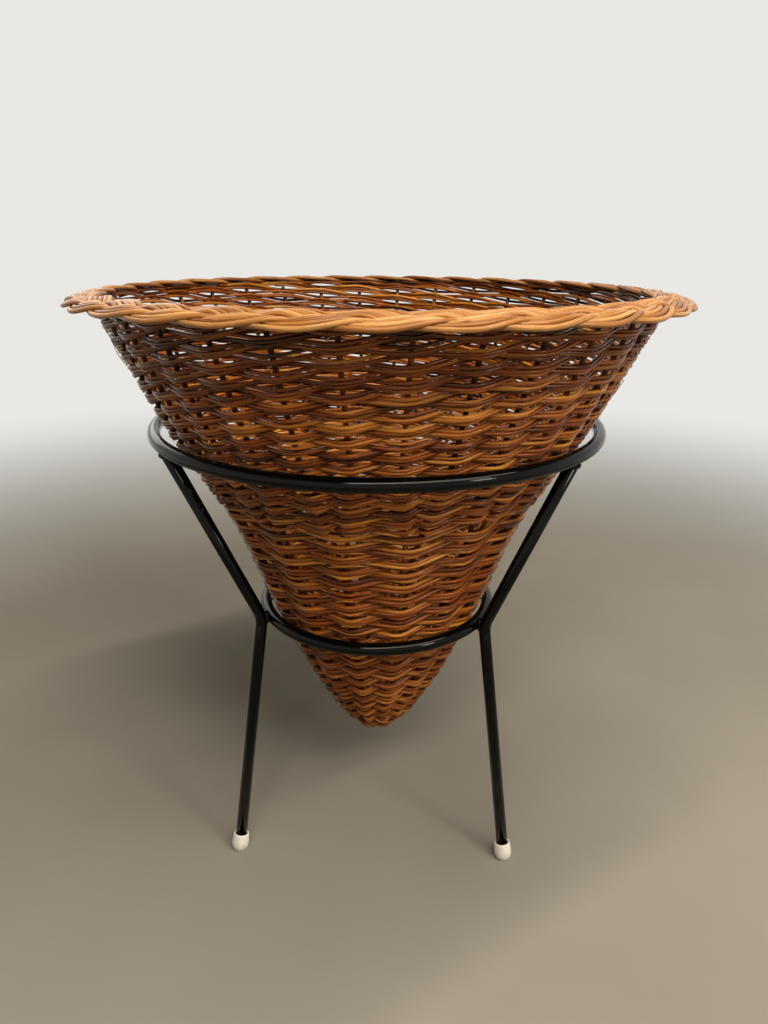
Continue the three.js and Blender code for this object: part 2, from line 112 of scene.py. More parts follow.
mirrored = add_node(tree, "ShaderNodeMath", {"operation": "MAXIMUM"},
                    {0: rays.outputs["Is Glossy Ray"], 1: rays.outputs["Is Transmission Ray"]})
seen = add_node(tree, "ShaderNodeMath", {"operation": "MAXIMUM"},
                {0: rays.outputs["Is Camera Ray"], 1: mirrored.outputs[0]})
mixed = add_node(tree, "ShaderNodeMixShader",
                 inputs={0: seen.outputs[0], 1: room.outputs[0], 2: behind.outputs[0]})
add_node(tree, "ShaderNodeOutputWorld", inputs={"Surface": mixed.outputs[0]})

# Matt grey floor with a soft mottle a third of a metre across. It fades out into the background.
MOTTLE = 1 / 3
FADE_FROM, FADE_TO, FLOOR_RADIUS = 0.75, 2.6, 9.0
floor_material, tree = new_material("smooth_pale_floor")
place = add_node(tree, "ShaderNodeTexCoord")
away = add_node(tree, "ShaderNodeVectorMath", {"operation": "LENGTH"}, {0: place.outputs["Object"]})
fade = add_node(tree, "ShaderNodeMapRange", {"interpolation_type": "SMOOTHSTEP"},
                {"Value": away.outputs["Value"], "From Min": FADE_FROM, "From Max": FADE_TO})
rays = add_node(tree, "ShaderNodeLightPath")
seen = add_node(tree, "ShaderNodeMath", {"operation": "MAXIMUM"},
                {0: rays.outputs["Is Camera Ray"], 1: rays.outputs["Is Glossy Ray"]})
faded = add_node(tree, "ShaderNodeMath", {"operation": "MULTIPLY"},
                 {0: fade.outputs["Result"], 1: seen.outputs[0]})
mottle = add_node(tree, "ShaderNodeTexNoise",
                  inputs={"Vector": place.outputs["Object"], "Scale": 1 / MOTTLE, "Detail": 6.0})
tint = add_node(tree, "ShaderNodeMix", {"data_type": "RGBA"},
                {"Factor": mottle.outputs["Fac"], "A": colour("#88847a"), "B": colour("#9c988e")})
matt = add_node(tree, "ShaderNodeBsdfDiffuse", inputs={"Color": tint.outputs["Result"]})
glow = add_node(tree, "ShaderNodeEmission", inputs={"Color": BACKGROUND, "Strength": 1.0})
both = add_node(tree, "ShaderNodeMixShader",
                inputs={0: faded.outputs[0], 1: matt.outputs[0], 2: glow.outputs[0]})
add_node(tree, "ShaderNodeOutputMaterial", inputs={"Surface": both.outputs[0]})

bpy.ops.object.select_all(action="DESELECT")
bpy.ops.mesh.primitive_circle_add(vertices=96, radius=FLOOR_RADIUS, fill_type="NGON", location=(0, 0, 0))
floor = bpy.context.object
floor.name = "floor"
floor.data.materials.append(floor_material)

LAMPS = {  # place, point it is aimed at, length and depth, watts, colour
    "ceiling_lamp_front": ((0.7, -1.75, 2.2), (0, 0, 0.4), (2.8, 0.3), 34, "#fff4e4"),
    "ceiling_lamp_middle": ((0.7, -1.1, 2.2), (0, 0, 0.4), (2.8, 0.3), 30, "#fff4e4"),
    "ceiling_lamp_back": ((0.2, -0.3, 2.3), (0, 0, 0.4), (1.6, 0.1), 29, "#fff4e4"),
    "side_lamp": ((1.9, -1.7, 1.3), (0, 0, 0.35), (0.5, 0.5), 15, "#fff6ea"),
    "soft_lamp": ((-1.4, 1.9, 1.5), (0, 0, 0.35), (1.4, 1.4), 9, "#fff6ea"),
}
for lamp_name, (lamp_place, aim, lamp_size, watts, lamp_tint) in LAMPS.items():
    lamp_data = bpy.data.lights.new(lamp_name, "AREA")
    lamp_data.shape = "RECTANGLE"
    lamp_data.size, lamp_data.size_y = lamp_size
    lamp_data.energy = watts
    lamp_data.color = colour(lamp_tint)[:3]
    lamp = bpy.data.objects.new(lamp_name, lamp_data)
    bpy.context.scene.collection.objects.link(lamp)
    lamp.location = lamp_place
    lamp.rotation_mode = "QUATERNION"
    lamp.rotation_quaternion = (Vector(aim) - Vector(lamp_place)).to_track_quat("-Z", "Y")


# Upper and lower ring. Half-inch round steel rod rolled to a hoop, its ends butt-welded at the back,
# where the ground weld stays a trace thicker, and dipped with the rest in glossy black enamel. Sizes
# are in millimetres from here on.
MM = 0.001
ROD_RADIUS = 6.35
RING_SIZES = {"upper_ring": (232.6, 475.0), "lower_ring": (128.7, 266.0)}  # radius and height
SEAM_HALF = {"upper_ring": 9.0, "lower_ring": 5.0}  # half the length of the weld
SEAM_SWELL = 0.35

# Stoved black enamel: a glass-like coat that runs a little uneven every 17 mm or so, so that long
# highlights waver, with fine dust specks about a millimetre apart in it.
RUN_SPACING, SPECK_SPACING = 16.667, 1.111
enamel, tree = new_material("stoved_black_enamel")
place = add_node(tree, "ShaderNodeTexCoord")
runs = add_node(tree, "ShaderNodeTexNoise",
                inputs={"Vector": place.outputs["Object"], "Scale": 1 / (RUN_SPACING * MM), "Detail": 2.0})
specks = add_node(tree, "ShaderNodeTexNoise",
                  inputs={"Vector": place.outputs["Object"], "Scale": 1 / (SPECK_SPACING * MM),
                          "Detail": 2.0})
dull = add_node(tree, "ShaderNodeMapRange",
                inputs={"Value": runs.outputs["Fac"], "From Min": 0.3, "From Max": 0.75,
                        "To Min": 0.03, "To Max": 0.09})
shade = add_node(tree, "ShaderNodeMix", {"data_type": "RGBA"},
                 {"Factor": specks.outputs["Fac"], "A": colour("#020202"), "B": colour("#060606")})
waver = add_node(tree, "ShaderNodeBump",
                 inputs={"Height": runs.outputs["Fac"], "Strength": 0.25, "Distance": 0.6 * MM})
grit = add_node(tree, "ShaderNodeBump",
                inputs={"Height": specks.outputs["Fac"], "Strength": 0.12, "Distance": 0.2 * MM,
                        "Normal": waver.outputs["Normal"]})
shader = add_node(tree, "ShaderNodeBsdfPrincipled",
                  inputs={"Base Color": shade.outputs["Result"], "Roughness": dull.outputs["Result"],
                          "Normal": grit.outputs["Normal"], "Specular IOR Level": 0.16})
add_node(tree, "ShaderNodeOutputMaterial", inputs={"Surface": shader.outputs[0]})


def settle(piece, name, body, slot, material, *nodes):
    """Puts the place into the mesh, dresses and names the piece, hangs it on its body and hides the
    CAD parts that it stands for.
    """
    bpy.ops.object.select_all(action="DESELECT")
    piece.select_set(True)
    bpy.context.view_layer.objects.active = piece
    bpy.ops.object.transform_apply(location=True, rotation=True, scale=True)
    piece.name = name
    piece.data.name = name
    piece.data.materials.clear()
    piece.data.materials.append(material)
    for polygon in piece.data.polygons:
        polygon.use_smooth = True
    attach(piece, body)
    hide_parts(*nodes)


for ring_name, (ring_radius, ring_height) in RING_SIZES.items():
    bpy.ops.object.select_all(action="DESELECT")
    bpy.ops.mesh.primitive_torus_add(
        major_segments=180, minor_segments=28, major_radius=ring_radius * MM,
        minor_radius=ROD_RADIUS * MM, location=(0, 0, ring_height * MM))
    ring = bpy.context.object
    seam = {v.index for v in ring.data.vertices if v.co.y > 0 and abs(v.co.x) < SEAM_HALF[ring_name] * MM}
    for polygon in ring.data.polygons:
        polygon.select = all(i in seam for i in polygon.vertices)
    bpy.ops.object.mode_set(mode="EDIT")
    bpy.ops.mesh.select_mode(type="FACE")
    bpy.ops.transform.shrink_fatten(value=SEAM_SWELL * MM)
    bpy.ops.object.mode_set(mode="OBJECT")
    settle(ring, f"{ring_name}_rod", "stand", "black_enamel", enamel, ring_name)

# Legs. Each is one length of the same rod, bent once where it is welded outside the lower ring. Its
# top end butts under the upper ring. The two front legs stand nearer to the front with their feet
# than with their bends.
LEG_PLACES = {  # degrees round the basket at the upper ring, at the lower ring and on the floor
    "left": (-58.5, -64.0, -52.5), "right": (50.5, 56.5, 47.5), "rear": (177.0, 177.0, 177.0),
}
CORNER_RADIUS, FOOT_RADIUS, BEND_RADIUS = 140.16, 196.7, 30.0
END_BELOW_RING = 6.4  # the leg's top end below the upper ring's middle line
END_ABOVE_FLOOR = 4.6


def standing(degrees, radius, height):
    """A point in metres at an angle round the basket, from the front and growing towards +X."""
    angle = math.radians(degrees)
    return Vector((math.sin(angle) * radius, -math.cos(angle) * radius, height)) * MM


leg_lines = {}
for side, (at_top, at_bend, at_foot) in LEG_PLACES.items():
    butt = standing(at_top, *RING_SIZES["upper_ring"])
    corner = standing(at_bend, CORNER_RADIUS, RING_SIZES["lower_ring"][1])
    foot = standing(at_foot, FOOT_RADIUS, 0)
    up, down = (butt - corner).normalized(), (foot - corner).normalized()
    half_bend = (math.pi - up.angle(down)) / 2
    bend_centre = corner + (up + down).normalized() * (BEND_RADIUS * MM / math.cos(half_bend))
    bend_start = corner + up * (BEND_RADIUS * MM * math.tan(half_bend))
    bend_end = corner + down * (BEND_RADIUS * MM * math.tan(half_bend))
    leg_top = butt - up * (END_BELOW_RING * MM)
    leg_end = foot + down * (END_ABOVE_FLOOR * MM / down.z)
    leg_lines[side] = (butt, up, corner, foot, down)
    bpy.ops.object.select_all(action="DESELECT")
    bpy.ops.mesh.primitive_circle_add(vertices=28, radius=ROD_RADIUS * MM, fill_type="NGON",
                                      location=(0, 0, 0))
    leg = bpy.context.object
    leg.rotation_mode = "QUATERNION"
    leg.rotation_quaternion = up.to_track_quat("Z", "Y")
    bpy.ops.object.transform_apply(location=False, rotation=True, scale=False)
    bpy.ops.object.mode_set(mode="EDIT")
    bpy.ops.mesh.select_all(action="SELECT")
    bpy.ops.transform.translate(value=leg_top)
    bpy.ops.mesh.extrude_region_move(TRANSFORM_OT_translate={"value": bend_start - leg_top})
    bpy.ops.mesh.spin(steps=12, angle=2 * half_bend, center=bend_centre, axis=up.cross(down).normalized())
    bpy.ops.mesh.extrude_region_move(TRANSFORM_OT_translate={"value": leg_end - bend_end})
    bpy.ops.mesh.select_all(action="SELECT")
    bpy.ops.mesh.remove_doubles(threshold=1e-6)
    bpy.ops.mesh.normals_make_consistent(inside=False)
    bpy.ops.object.mode_set(mode="OBJECT")
    settle(leg, f"leg_{side}_rod", "stand", "black_enamel", enamel, f"leg_{side}")

# Weld beads. A run of filler metal round each leg's top end and in the corner where the leg passes the
# lower ring, enamelled over with the rest.
BEAD_SIZES = {"upper": (7.9, 8.1, 5.2), "lower": (4.4, 6.0, 8.0)}  # half its depth, width and height
UPPER_BEAD_BELOW = 7.4  # below the upper ring's middle line, along the leg
LOWER_BEAD_RADIUS, LOWER_BEAD_HEIGHT = 135.2, 265.8
BEAD_RIPPLES = ((7, 0.05), (11, 0.03))  # ripples round the bead, and how deep against its size
FULL_TURN = 6.28

for side, (butt, up, corner, *_) in leg_lines.items():
    lower_seam = corner * (LOWER_BEAD_RADIUS / CORNER_RADIUS)
    lower_seam.z = LOWER_BEAD_HEIGHT * MM
    seams = {"upper": butt - up * (UPPER_BEAD_BELOW * MM), "lower": lower_seam}
    for where, sizes in BEAD_SIZES.items():
        bpy.ops.object.select_all(action="DESELECT")
        bpy.ops.mesh.primitive_uv_sphere_add(segments=32, ring_count=20, radius=1.0)
        bead = bpy.context.object
        bead_dice = random.Random(f"{side}{where}")
        starts = [bead_dice.uniform(0, FULL_TURN) for _ in BEAD_RIPPLES]
        for vertex in bead.data.vertices:
            around = math.atan2(vertex.co.y, vertex.co.x)
            swell = sum(depth * math.sin(count * around + start)
                        for (count, depth), start in zip(BEAD_RIPPLES, starts))
            vertex.co *= 1 + swell * (1 - abs(vertex.co.z))
        bead.scale = [size * MM for size in sizes]
        bead.rotation_euler = (0, 0, math.atan2(seams[where].y, seams[where].x))
        bead.location = seams[where]
        settle(bead, f"weld_{where}_{side}_bead", "stand", "black_enamel", enamel, f"weld_{where}_{side}")

# Push-on tips. Off-white moulded vinyl caps, a little wider at the foot, with a rounded lower edge and
# a soft rolled lip round the rod, and a flat sole on the floor.
TIP_STEPS = [  # height along the leg and radius
    (-4.0, 5.2), (-0.6, 6.6), (0.8, 7.7), (2.6, 8.8), (4.8, 9.5), (8.0, 9.7), (12.0, 9.4),
    (15.5, 9.0), (17.6, 8.9), (18.6, 8.5), (19.0, 7.9), (18.8, 7.2), (17.9, 6.7), (14.0, 6.45),
]

# Soft PVC: satin, with grimy spots 4 mm apart over its lowest 12 mm, where it picks up dust.
GRIME_SPACING, GRIME_HEIGHT = 3.846, 12.0
vinyl, tree = new_material("moulded_vinyl")
place = add_node(tree, "ShaderNodeTexCoord")
parts = add_node(tree, "ShaderNodeSeparateXYZ", inputs={0: place.outputs["Object"]})
low = add_node(tree, "ShaderNodeMapRange",
               inputs={"Value": parts.outputs["Z"], "From Min": 0.0, "From Max": GRIME_HEIGHT * MM,
                       "To Min": 1.0, "To Max": 0.0})
smudge = add_node(tree, "ShaderNodeTexNoise",
                  inputs={"Vector": place.outputs["Object"], "Scale": 1 / (GRIME_SPACING * MM),
                          "Detail": 5.0})
grime = add_node(tree, "ShaderNodeMath", {"operation": "MULTIPLY"},
                 {0: low.outputs["Result"], 1: smudge.outputs["Fac"]})
shade = add_node(tree, "ShaderNodeMix", {"data_type": "RGBA"},
                 {"Factor": grime.outputs[0], "A": colour("#f5f0e4"), "B": colour("#b3ab98")})
fine = add_node(tree, "ShaderNodeBump",
                inputs={"Height": smudge.outputs["Fac"], "Strength": 0.15, "Distance": 0.3 * MM})
shader = add_node(tree, "ShaderNodeBsdfPrincipled",
                  inputs={"Base Color": shade.outputs["Result"], "Roughness": 0.48,
                          "Normal": fine.outputs["Normal"], "Subsurface Weight": 0.08})
add_node(tree, "ShaderNodeOutputMaterial", inputs={"Surface": shader.outputs[0]})

for side, (*_, foot, down) in leg_lines.items():
    high, wide = TIP_STEPS[0]
    bpy.ops.object.select_all(action="DESELECT")
    bpy.ops.mesh.primitive_circle_add(vertices=48, radius=wide * MM, fill_type="NGON", location=(0, 0, 0))
    tip = bpy.context.object
    bpy.ops.object.mode_set(mode="EDIT")
    bpy.ops.mesh.select_all(action="SELECT")
    bpy.ops.transform.translate(value=(0, 0, high * MM))
    for next_high, next_wide in TIP_STEPS[1:]:
        bpy.ops.mesh.extrude_region_move(TRANSFORM_OT_translate={"value": (0, 0, (next_high - high) * MM)})
        bpy.ops.transform.resize(value=(next_wide / wide, next_wide / wide, 1))
        high, wide = next_high, next_wide
    bpy.ops.object.mode_set(mode="OBJECT")
    tip.rotation_mode = "QUATERNION"
    tip.rotation_quaternion = (-down).to_track_quat("Z", "Y")
    tip.location = foot
    bpy.ops.object.transform_apply(location=True, rotation=True, scale=False)
    bpy.ops.object.mode_set(mode="EDIT")
    bpy.ops.mesh.select_all(action="SELECT")
    bpy.ops.mesh.bisect(plane_co=(0, 0, 0), plane_no=(0, 0, 1), use_fill=True, clear_inner=True)
    bpy.ops.mesh.select_all(action="SELECT")
    bpy.ops.mesh.normals_make_consistent(inside=False)
    bpy.ops.object.mode_set(mode="OBJECT")
    settle(tip, f"foot_{side}_tip", "stand", "cream_vinyl", vinyl, f"foot_{side}")

# Stakes. The uprights of the basket, willow rods with the bark boiled off and varnished: sixteen from
# the point, sixteen more pushed in beside them, in pairs below and evenly spaced above. Their top ends
# turn out and lie below the plaited border.
GROUPS = 16
GROUP_ANGLE = 2 * math.pi / GROUPS
STAKE = 2.5
WALL_KNOTS = np.array([  # radius and height of the middle of the wall
    (5.0, 94.6), (13.5, 95.6), (23.0, 100.0), (31.0, 108.0), (37.5, 118.0), (68.0, 168.0), (113.2, 266.0),
    (154.0, 370.0), (209.9, 475.0), (264.5, 595.0), (269.0, 605.0),
])
BOWL_EDGE = 4  # the knot where the rounded point ends, from which lengths up the wall are counted
WALL_LENGTHS = np.concatenate([[0], np.cumsum(np.hypot(*np.diff(WALL_KNOTS, axis=0).T))])
WALL_LENGTHS -= WALL_LENGTHS[BOWL_EDGE]
WALL_TANGENTS = np.gradient(WALL_KNOTS, WALL_LENGTHS, axis=0)
WALL_TANGENTS[BOWL_EDGE:BOWL_EDGE + 5] = [
    (0.545, 0.838), (0.49, 0.872), (0.395, 0.919), (0.405, 0.914), (0.46, 0.888)]


def wall(s):
    """Radius, height and outward slope of the wall at a length s up from the bowl's edge, in mm."""
    i = int(np.clip(np.searchsorted(WALL_LENGTHS, s) - 1, 0, len(WALL_LENGTHS) - 2))
    step = WALL_LENGTHS[i + 1] - WALL_LENGTHS[i]
    t = (s - WALL_LENGTHS[i]) / step
    a, b = WALL_KNOTS[i], WALL_KNOTS[i + 1]
    ma, mb = WALL_TANGENTS[i] * step, WALL_TANGENTS[i + 1] * step
    t2, t3 = t * t, t * t * t
    point = (2 * t3 - 3 * t2 + 1) * a + (t3 - 2 * t2 + t) * ma + (3 * t2 - 2 * t3) * b + (t3 - t2) * mb
    way = (6 * t2 - 6 * t) * a + (3 * t2 - 4 * t + 1) * ma + (6 * t - 6 * t2) * b + (3 * t2 - 2 * t) * mb
    return point[0], point[1], math.atan2(way[0], way[1])


# The basket is woven by eye: towards its top it stands a little wide, most of all on its right side.
WIDE_FROM, WIDE_TO = 430.0, 600.0
WIDE_ALL_ROUND, WIDE_AT_RIGHT = 3.0, 5.5


def wide_right(angle):
    """How much wider the basket stands towards its right side."""
    return WIDE_AT_RIGHT * max(math.sin(angle), 0.0) ** 2


def on_wall(angle, s, out=0.0):
    """A point on the wall in metres. The angle starts at the front and grows towards +X."""
    r, z, slope = wall(s)
    wide = min(max((z - WIDE_FROM) / (WIDE_TO - WIDE_FROM), 0.0), 1.0)
    r += out * math.cos(slope) + wide * (WIDE_ALL_ROUND + wide_right(angle))
    z -= out * math.sin(slope)
    return (math.sin(angle) * r * MM, -math.cos(angle) * r * MM, z * MM)


# Up to PAIR_FROM an added stake comes up to the one that it is pushed in beside. Pairs part between
# SPREAD_FROM, where the wall's radius is SPREAD_RADIUS, and SPREAD_TO.
PAIR_FROM, SPREAD_FROM, SPREAD_TO = 58.6, 278.2, 397.2
SPREAD_RADIUS = 154.0
PAIR_HALF = 2.8  # half the distance between the two stakes of a pair
POINT_TO, POINT_BLEND = 8.0, 20.0  # below POINT_TO the first sixteen draw together two and two
POINT_HALF = 2.4


def pair_angle(s):
    """Half the angle between the two stakes of a pair."""
    if s < SPREAD_FROM:
        return PAIR_HALF / max(wall(s)[0], 30.0) * min(max(s, 0.0) / PAIR_FROM, 1.0)
    share = min((s - SPREAD_FROM) / (SPREAD_TO - SPREAD_FROM), 1.0)
    return PAIR_HALF / SPREAD_RADIUS + (GROUP_ANGLE / 4 - PAIR_HALF / SPREAD_RADIUS) * share


def stake_angle(number, s):
    """Angle of stake 0 to 31 at a length s. Even ones run from the point, odd ones are pushed in."""
    group, side = divmod(number, 2)
    angle = GROUP_ANGLE * (group + 0.5) + (2 * side - 1) * pair_angle(s)
    if s < POINT_TO:
        middle = GROUP_ANGLE * 2 * (group // 2 + 0.5)
        beside = (2 * (group % 2) - 1) * POINT_HALF / max(wall(s)[0], 6.0)
        share = min((POINT_TO - s) / POINT_BLEND, 1.0)
        share = share * share * (3 - 2 * share)
        angle += (middle + beside - angle) * share
    return angle


END_BULGE = 0.45  # how far a rod's cut end bulges, against its radius


def lay_rods(name, rods, sides):
    """One mesh of round rods. A rod gives its points, its radii and its tones from 0 to 1, which are
    its own brown, a number that shifts its grain, and how much painted shade each point carries."""
    verts, faces, uvs, tones = [], [], [], []
    around = [2 * math.pi * j / sides for j in range(sides)]
    for points, radii, (brown, shift, painted_shade) in rods:
        line = np.asarray(points, float)
        count = len(line)
        tangents = np.gradient(line, axis=0)
        tangents /= np.linalg.norm(tangents, axis=1)[:, None]
        lengths = np.concatenate([[0], np.cumsum(np.linalg.norm(np.diff(line, axis=0), axis=1))])
        normal = np.cross(tangents[0], (0.13, 0.21, 0.97))
        base = len(verts)
        for i in range(count):
            normal = normal - tangents[i] * normal.dot(tangents[i])
            normal /= np.linalg.norm(normal)
            across = np.cross(tangents[i], normal)
            verts += [line[i] + radii[i] * (math.cos(a) * normal + math.sin(a) * across) for a in around]
            tones += [(brown, shift, painted_shade[i], 1.0)] * sides
        for i in range(count - 1):
            row = base + i * sides
            u0, u1 = lengths[i], lengths[i + 1]
            for j in range(sides):
                k = (j + 1) % sides
                v0, v1 = j / sides, (j + 1) / sides
                faces.append((row + j, row + k, row + sides + k, row + sides + j))
                uvs += [(u0, v0), (u0, v1), (u1, v1), (u1, v0)]
        for i, way in ((0, -1), (count - 1, 1)):
            cut = len(verts)
            verts.append(line[i] + way * tangents[i] * radii[i] * END_BULGE)
            tones.append((brown * 0.8 + 0.2, shift, 0.0, 1.0))
            row, u = base + i * sides, lengths[i]
            for j in range(sides):
                k = (j + 1) % sides
                v0, v1 = j / sides, (j + 1) / sides
                faces.append((row + j, row + k, cut) if way > 0 else (row + k, row + j, cut))
                uvs += [(u, v0), (u, v1), (u + MM, (j + 0.5) / sides)]
    mesh = bpy.data.meshes.new(name)
    mesh.from_pydata([tuple(v) for v in verts], [], faces)
    layer = mesh.uv_layers.new(name="along")
    layer.data.foreach_set("uv", np.asarray(uvs, np.float32).ravel())
    attribute = mesh.color_attributes.new("tone", "FLOAT_COLOR", "POINT")
    attribute.data.foreach_set("color", np.asarray(tones, np.float32).ravel())
    mesh.update()
    piece = bpy.data.objects.new(name, mesh)
    bpy.context.scene.collection.objects.link(piece)
    return piece


# Willow patterns: how far apart they are along a rod, and how many go round it.
WILLOW_PATTERNS = {"grain": (26.316, 7.0), "patch": (111.11, 0.5), "scar": (38.462, 1.7)}


def varnished_willow(name, deep, middle, light, gloss):
    """Boiled and varnished willow. Every rod has its own brown, from deep to light, with fine grain
    along it, darker bud scars every few centimetres, near-black painted shade where the tone's third
    value asks for it, and a coat of varnish that is thick, glossy and a little amber."""
    material, tree = new_material(name)
    tone = add_node(tree, "ShaderNodeVertexColor", {"layer_name": "tone"})
    own = add_node(tree, "ShaderNodeSeparateColor", inputs={0: tone.outputs["Color"]})
    along = add_node(tree, "ShaderNodeUVMap", {"uv_map": "along"})
    shift = add_node(tree, "ShaderNodeCombineXYZ",
                     inputs={"X": own.outputs["Green"], "Z": own.outputs["Red"]})
    spread = add_node(tree, "ShaderNodeVectorMath", {"operation": "SCALE"},
                      {0: shift.outputs[0], "Scale": 37.0})
    places = {}
    for pattern, (spacing, round_rod) in WILLOW_PATTERNS.items():
        sized = add_node(tree, "ShaderNodeMapping",
                         inputs={"Vector": along.outputs[0], "Scale": (1 / (spacing * MM), round_rod, 1.0)})
        shifted = add_node(tree, "ShaderNodeVectorMath", {"operation": "ADD"},
                           {0: sized.outputs[0], 1: spread.outputs["Vector"]})
        places[pattern] = shifted.outputs["Vector"]
    grain = add_node(tree, "ShaderNodeTexNoise",
                     inputs={"Vector": places["grain"], "Scale": 1.0, "Detail": 5.0, "Roughness": 0.6})
    patch = add_node(tree, "ShaderNodeTexNoise",
                     inputs={"Vector": places["patch"], "Scale": 1.0, "Detail": 2.0})
    patchy = add_node(tree, "ShaderNodeMath", {"operation": "MULTIPLY_ADD"},
                      {0: patch.outputs["Fac"], 1: 0.7, 2: -0.35})
    brown = add_node(tree, "ShaderNodeMath", {"operation": "ADD"},
                     {0: own.outputs["Red"], 1: patchy.outputs[0]})
    ramp = add_node(tree, "ShaderNodeValToRGB", inputs={"Fac": brown.outputs[0]})
    ramp.color_ramp.elements[0].color = colour(deep)
    ramp.color_ramp.elements[0].position = 0.05
    ramp.color_ramp.elements[1].color = colour(light)
    ramp.color_ramp.elements[1].position = 0.98
    ramp.color_ramp.elements.new(0.5).color = colour(middle)
    streak = add_node(tree, "ShaderNodeMapRange",
                      inputs={"Value": grain.outputs["Fac"], "From Min": 0.35, "From Max": 0.7,
                              "To Min": 0.62, "To Max": 1.12})
    grained = add_node(tree, "ShaderNodeVectorMath", {"operation": "SCALE"},
                       {0: ramp.outputs["Color"], "Scale": streak.outputs["Result"]})
    scars = add_node(tree, "ShaderNodeTexVoronoi", inputs={"Vector": places["scar"], "Scale": 1.0})
    scar = add_node(tree, "ShaderNodeMapRange",
                    inputs={"Value": scars.outputs["Distance"], "From Min": 0.05, "From Max": 0.13,
                            "To Min": 0.75, "To Max": 0.0})
    # Darkening towards near-black: the real bud scars plus the painted shade from the tone's third value.
    dark = add_node(tree, "ShaderNodeMath", {"operation": "MULTIPLY_ADD", "use_clamp": True},
                    {0: own.outputs["Blue"], 1: 0.82, 2: scar.outputs["Result"]})
    shade = add_node(tree, "ShaderNodeMix", {"data_type": "RGBA"},
                     {"Factor": dark.outputs[0], "A": grained.outputs["Vector"], "B": colour("#1c0700")})
    dull = add_node(tree, "ShaderNodeMapRange",
                    inputs={"Value": patch.outputs["Fac"], "From Min": 0.3, "From Max": 0.7,
                            "To Min": gloss, "To Max": gloss + 0.16})
    ridges = add_node(tree, "ShaderNodeBump",
                      inputs={"Height": grain.outputs["Fac"], "Strength": 0.35, "Distance": 0.3 * MM})
    shader = add_node(tree, "ShaderNodeBsdfPrincipled",
                      inputs={"Base Color": shade.outputs["Result"], "Roughness": dull.outputs["Result"],
                              "Normal": ridges.outputs["Normal"], "Specular IOR Level": 0.25,
                              "Specular Tint": colour("#ffdcae"), "Coat Weight": 0.2, "Coat Roughness": 0.08})
    add_node(tree, "ShaderNodeOutputMaterial", inputs={"Surface": shader.outputs[0]})
    return material


# Dull dark brown: the stakes lie in the weave's shade and have the least varnish.
stake_willow = varnished_willow("varnished_willow_stakes", "#34190a", "#643615", "#94602e", 0.4)

# The border's middle line, which the stakes' top ends reach from below.
BORDER_RADIUS, BORDER_HEIGHT, BORDER_TILT = 281.5, 605.0, math.radians(6)


def on_border(angle, across, up):
    """A point of the border, across from its middle line and up from its middle layer, in metres."""
    r = BORDER_RADIUS + across * math.cos(BORDER_TILT) - up * math.sin(BORDER_TILT)
    r += wide_right(angle)
    z = BORDER_HEIGHT + across * math.sin(BORDER_TILT) + up * math.cos(BORDER_TILT)
    return (math.sin(angle) * r * MM, -math.cos(angle) * r * MM, z * MM)


WALL_TOP = 529.0
STAKE_FROM, ADDED_FROM, STAKE_STEP = -36.0, PAIR_FROM - 12, 6.0
UNDER_BORDER = ((-16.0, -8.0), (-13.5, -5.5))  # the turned top, across and up from the border's middle
SWAY_FROM, SWAY_ASIDE, ASIDE_LENGTH = 330.0, 0.0025, 60.0  # a stake sways aside, in radians, above this
SWAY_OUT, OUT_LENGTH = 0.25, 45.0  # and in and out all the way up; the lengths are those of one radian
THICK_END, TAPER = 1.06, 0.14

dice = random.Random(11)
for number in range(2 * GROUPS):
    start = ADDED_FROM if number % 2 else STAKE_FROM
    lengths = list(np.arange(start, WALL_TOP - 4, STAKE_STEP)) + [WALL_TOP - 2]
    aside_start, out_start = (dice.uniform(0, FULL_TURN) for _ in range(2))
    points = []
    for s in lengths:
        aside = SWAY_ASIDE * math.sin(s / ASIDE_LENGTH + aside_start) if s > SWAY_FROM else 0.0
        out = SWAY_OUT * math.sin(s / OUT_LENGTH + out_start)
        points.append(on_wall(stake_angle(number, s) + aside, s, out))
    points += [on_border(stake_angle(number, WALL_TOP), *spot) for spot in UNDER_BORDER]
    radii = [STAKE * (THICK_END - TAPER * i / len(points)) * MM for i in range(len(points))]
    tones = (dice.random(), dice.random(), [0.0] * len(points))
    stake = lay_rods(f"stake_rod_{number + 1:02d}", [(points, radii, tones)], 10)
    settle(stake, f"stake_rod_{number + 1:02d}", "basket", "dark_willow", stake_willow,
           f"stake_{number + 1:02d}")

# Weave. Willow rods laid three together, or two at the point, one above the other. Each strand of them
# passes outside one stake and inside the next while it climbs to the right, and dips where it passes
# outside.
SPREAD_CUT, SHOULDER_CUT = 325.8, 430.0
WEAVE_TOP = WALL_TOP + 8.5  # a rod's middle lies no higher than this
EDGE = 0.1          # how far rods stay from a band's two ends, in courses
PRESSED = 1.9       # distance between two rods that press on each other, against their radius
NEST = 1.2          # how far the rods of a strand part between two stakes, in and out in turn
SOFTNESS = 0.4      # how much of a strand's way in and out is a soft wave, and not a straight run
TURN = 0.08         # how rounded its straight runs turn at a stake, counted in stakes
OVERLAP = 0.42      # how far a rod's start passes the end of the one before, counted in stakes
TUCK_LENGTH = 0.5   # over how much of its end a rod is tucked in, counted in stakes
TUCK_DEPTH = 2.4
ROD_TAPER = 0.06
INNER_SHADE = 0.55  # how dark the painted shade is where a rod passes inside a stake
# Painted shade under the border's overhang: how deep, and between which lengths up the wall it grows.
BORDER_SHADE, SHADE_FROM, SHADE_TO = 0.36, 455.0, 525.0

# What a weaver's hand leaves to chance, as lowest and highest values: a rod's length in rounds, its
# thickness and how limp it lies, and how fast and how far each lane wavers. The brown is a mean and a
# spread.
ROUNDS, THICKNESS, LIMPNESS = (0.75, 1.35), (0.8, 1.12), (0.3, 1.7)
WAVER_RATE, WAVER_SIZE = (0.15, 1.3), (0.2, 0.55)
WALL_BROWN = (0.48, 0.22)

